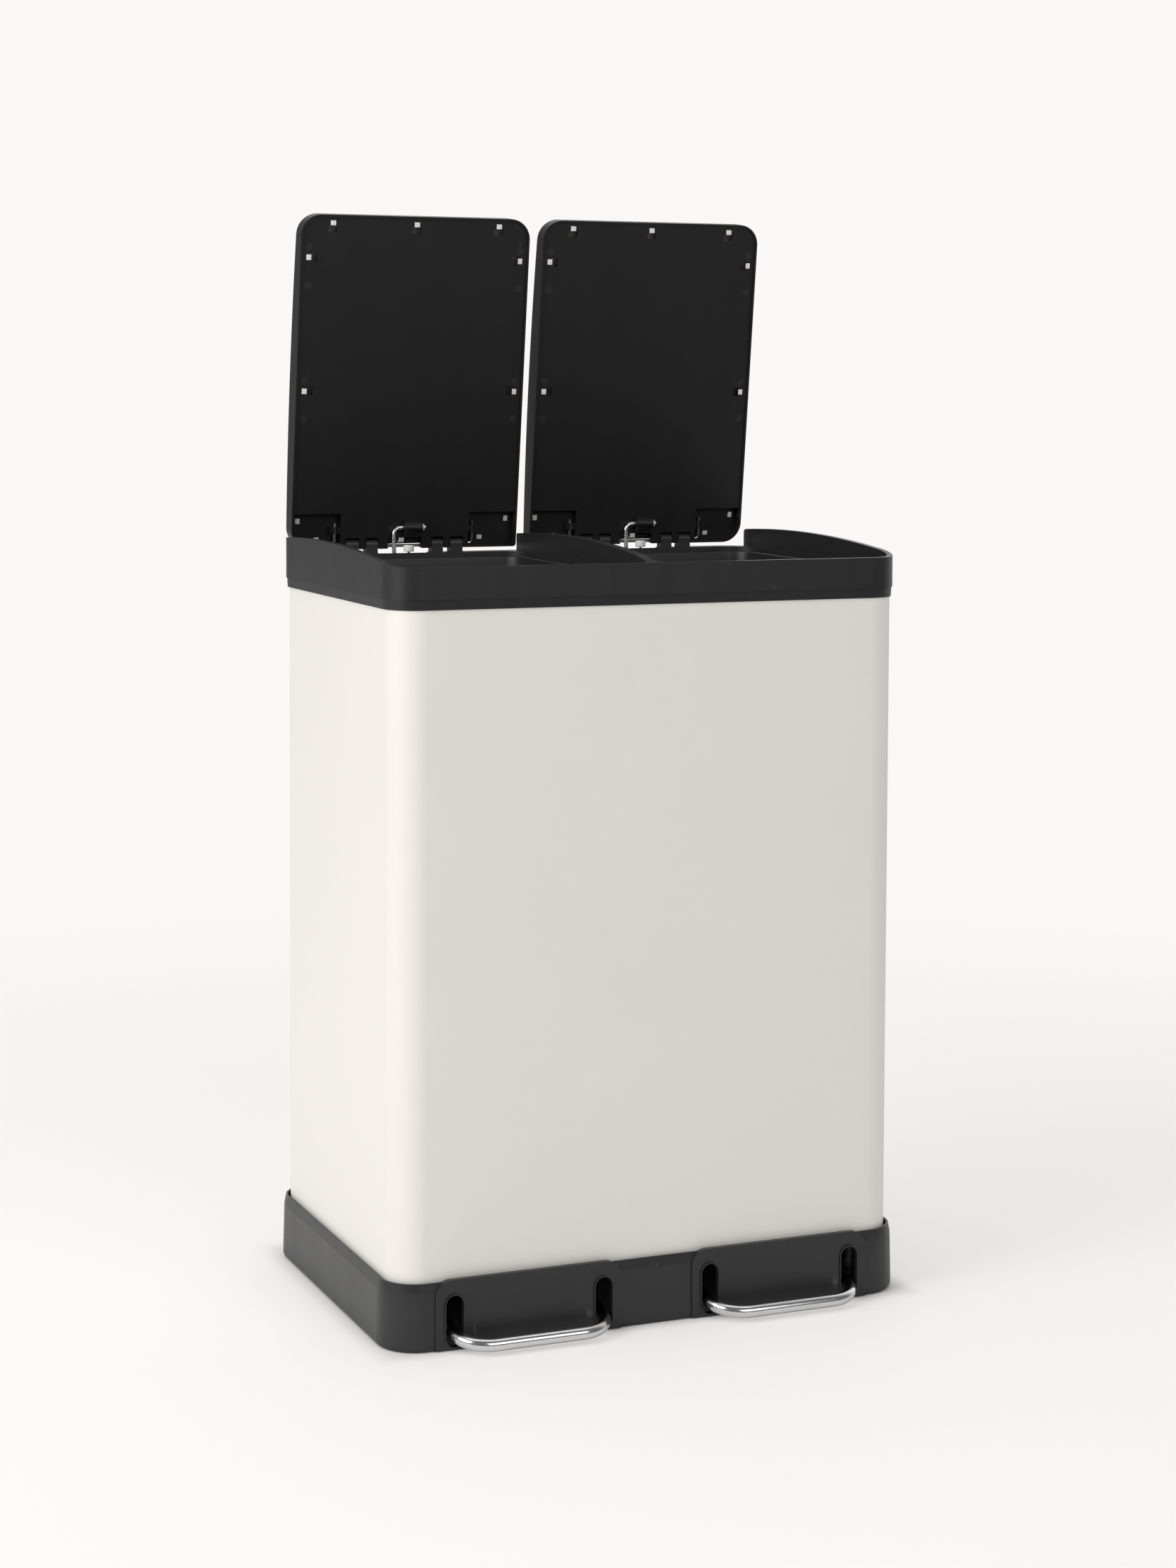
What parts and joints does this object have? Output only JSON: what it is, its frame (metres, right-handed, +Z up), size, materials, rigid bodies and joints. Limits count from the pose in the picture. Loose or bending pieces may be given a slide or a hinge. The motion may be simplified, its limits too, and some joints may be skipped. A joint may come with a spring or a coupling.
{
  "type": "double recycling bin",
  "caption": "Pedal bin with a rectangular steel shell, side-by-side inner buckets and hinged lids, each raised by its own foot bar through a lever and push rod.",
  "frame": {"origin": "on the floor under the middle of the bin's bounding box, lids open and pedals down", "axes": "+X to the right seen from the front, +Y to the rear, +Z up; the pedals are at -Y"},
  "size_m": [0.4822, 0.3654, 0.9556],
  "materials": {
    "cream_steel": "satin powder coat",
    "dark_plastic": "fine matte moulding",
    "bucket_plastic": "matte moulding",
    "zinc_wire": "bright drawn wire",
    "chrome": "polished",
    "plain_steel": "plain",
    "white_plastic": "smooth moulding",
    "foot_rubber": "matte"
  },
  "bodies": {
    "bin": {"base_tray": "dark_plastic", "body_shell": "cream_steel", "top_rim": "dark_plastic", "foot_pads": "foot_rubber", "base_screws": "plain_steel", "rim_screws": "plain_steel", "lever_axle_left": "plain_steel", "lever_axle_right": "plain_steel", "damper_body_left": "dark_plastic", "damper_body_right": "dark_plastic"},
    "lid_left": {"lid_liner_left": "dark_plastic", "lid_skin_left": "cream_steel", "hinge_wire_left": "zinc_wire"},
    "rod_left": {"push_rod_left": "zinc_wire", "rod_caps_left": "white_plastic"},
    "pedal_left": {"pedal_bar_left": "chrome", "pedal_lever_left": "dark_plastic"},
    "plunger_left": {"damper_stem_left": "plain_steel", "damper_cap_left": "white_plastic"},
    "inner_left": {"bucket_left": "bucket_plastic"},
    "handle_left": {"bail_left": "zinc_wire", "bail_grip_left": "dark_plastic"},
    "lid_right": {"lid_liner_right": "dark_plastic", "lid_skin_right": "cream_steel", "hinge_wire_right": "zinc_wire"},
    "rod_right": {"push_rod_right": "zinc_wire", "rod_caps_right": "white_plastic"},
    "pedal_right": {"pedal_bar_right": "chrome", "pedal_lever_right": "dark_plastic"},
    "plunger_right": {"damper_stem_right": "plain_steel", "damper_cap_right": "white_plastic"},
    "inner_right": {"bucket_right": "bucket_plastic"},
    "handle_right": {"bail_right": "zinc_wire", "bail_grip_right": "dark_plastic"}
  },
  "joints": [
    {"name": "lid_left", "type": "hinge", "parent": "bin", "child": "lid_left", "pos_m": [-0.117, 0.1726, 0.6533], "axis": [-1, 0, 0], "range_deg": [-83.16, 0]},
    {"name": "rod_top_left", "type": "hinge", "parent": "lid_left", "child": "rod_left", "pos_m": [-0.117, 0.1636, 0.669], "axis": [-1, 0, 0], "range_deg": [0, 82.6]},
    {"name": "pedal_left", "type": "hinge", "parent": "bin", "child": "pedal_left", "pos_m": [-0.117, 0.0059, 0.038], "axis": [1, 0, 0], "range_deg": [-8.9, 0]},
    {"name": "plunger_left", "type": "slide", "parent": "bin", "child": "plunger_left", "axis": [0, 0, 1], "range_m": [-0.0138, 0]},
    {"name": "bucket_lift_left", "type": "slide", "parent": "bin", "child": "inner_left", "axis": [0, 0, 1], "range_m": [0, 0.18]},
    {"name": "bail_left", "type": "hinge", "parent": "inner_left", "child": "handle_left", "pos_m": [-0.11775, 0.00415, 0.629], "axis": [1, 0, 0], "range_deg": [0, 180]},
    {"name": "lid_right", "type": "hinge", "parent": "bin", "child": "lid_right", "pos_m": [0.117, 0.1726, 0.6533], "axis": [-1, 0, 0], "range_deg": [-83.16, 0]},
    {"name": "rod_top_right", "type": "hinge", "parent": "lid_right", "child": "rod_right", "pos_m": [0.117, 0.1636, 0.669], "axis": [-1, 0, 0], "range_deg": [0, 82.6]},
    {"name": "pedal_right", "type": "hinge", "parent": "bin", "child": "pedal_right", "pos_m": [0.117, 0.0059, 0.038], "axis": [1, 0, 0], "range_deg": [-8.9, 0]},
    {"name": "plunger_right", "type": "slide", "parent": "bin", "child": "plunger_right", "axis": [0, 0, 1], "range_m": [-0.0138, 0]},
    {"name": "bucket_lift_right", "type": "slide", "parent": "bin", "child": "inner_right", "axis": [0, 0, 1], "range_m": [0, 0.18]},
    {"name": "bail_right", "type": "hinge", "parent": "inner_right", "child": "handle_right", "pos_m": [0.11775, 0.00415, 0.629], "axis": [1, 0, 0], "range_deg": [0, 180]}
  ],
  "couplings": [
    {"joint": "rod_top_left", "follows": "lid_left", "ratio": -0.9913},
    {"joint": "pedal_left", "follows": "lid_left", "ratio": 0.1066},
    {"joint": "plunger_left", "follows": "lid_left", "m_per_rad": 0.00945},
    {"joint": "rod_top_right", "follows": "lid_right", "ratio": -0.9913},
    {"joint": "pedal_right", "follows": "lid_right", "ratio": 0.1066},
    {"joint": "plunger_right", "follows": "lid_right", "m_per_rad": 0.00945}
  ]
}
